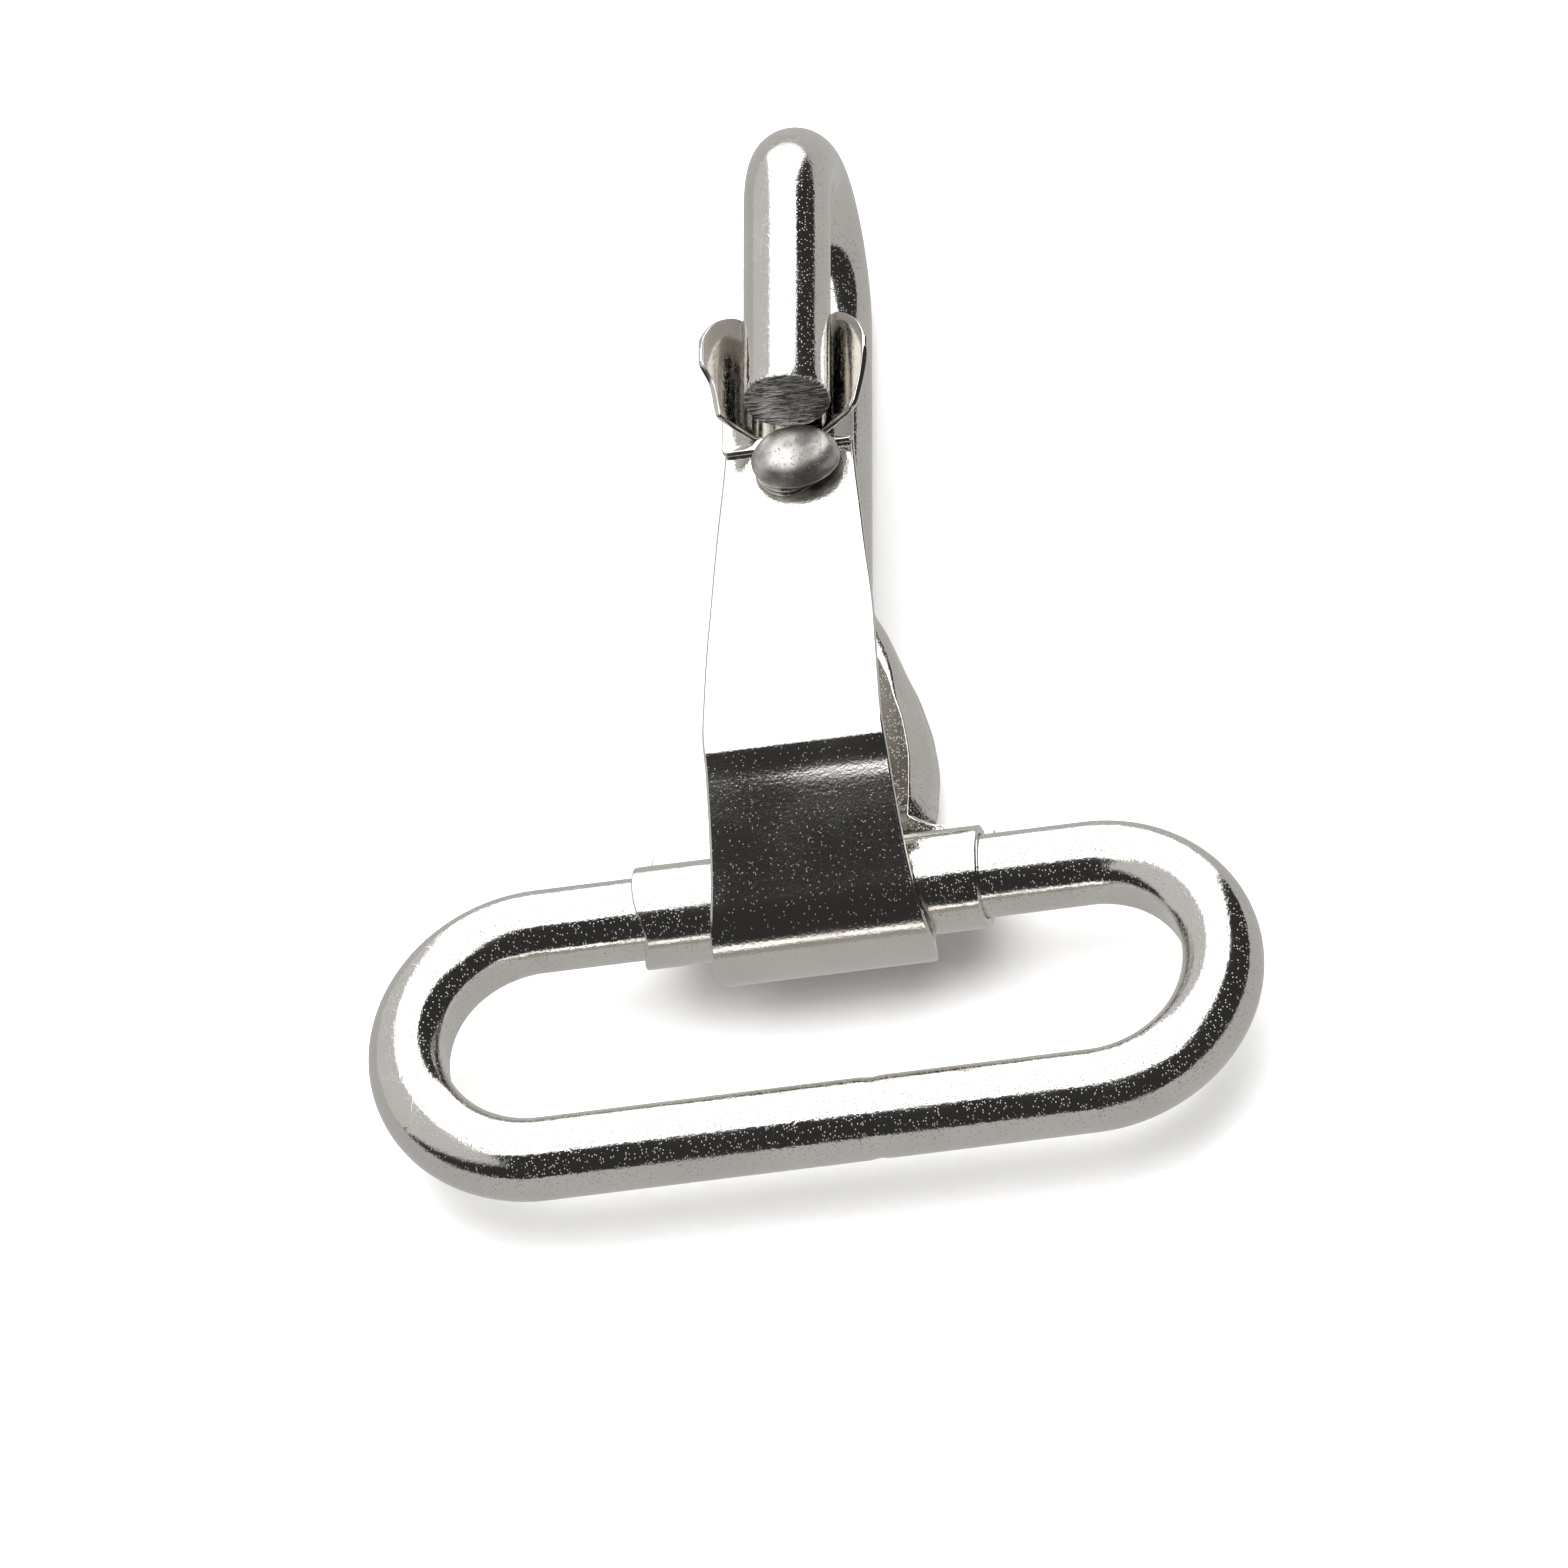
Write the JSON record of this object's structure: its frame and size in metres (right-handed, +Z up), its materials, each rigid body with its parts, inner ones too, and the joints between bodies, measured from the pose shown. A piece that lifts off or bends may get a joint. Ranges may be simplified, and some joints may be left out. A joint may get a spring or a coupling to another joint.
{
  "type": "strap snap hook",
  "caption": "Nickel-plated snap hook with a riveted leaf-spring gate that closes the mouth and an oval wire bail that carries a strap.",
  "frame": {"origin": "on the floor under the middle of the part's box, with the hook lying on its back", "axes": "+X along the eye and the bail's bar, +Y from the bail towards the bow, +Z up from the shank to the nose"},
  "size_m": [0.0466, 0.0628, 0.0151],
  "materials": {
    "hook_nickel": "nickel-plated forged steel, bright with fine orange-peel",
    "leaf_nickel": "nickel-plated spring steel sheet, bright with fine speckle and scratches",
    "guard_nickel": "nickel-plated pressed steel sheet, warm inside the ears",
    "rivet_nickel": "nickel-plated rivet, hammered dome",
    "bail_nickel": "nickel-plated steel wire, bright with fine orange-peel"
  },
  "bodies": {
    "hook": {"hook_body": "hook_nickel"},
    "gate": {"gate_spring": "leaf_nickel", "gate_guard": "guard_nickel", "gate_rivet": "rivet_nickel"},
    "bail": {"bail": "bail_nickel"}
  },
  "joints": [
    {"name": "gate_hinge", "type": "hinge", "parent": "hook", "child": "gate", "pos_m": [0, -0.01557, 0.00625], "axis": [-1, 0, 0], "range_deg": [0, 8.5], "stiffness_Nm_per_rad": 0.3, "springref_deg": -8.59},
    {"name": "bail_swing", "type": "hinge", "parent": "hook", "child": "bail", "pos_m": [0, -0.01557, 0.00625], "axis": [1, 0, 0], "range_deg": [-144, 144]}
  ]
}
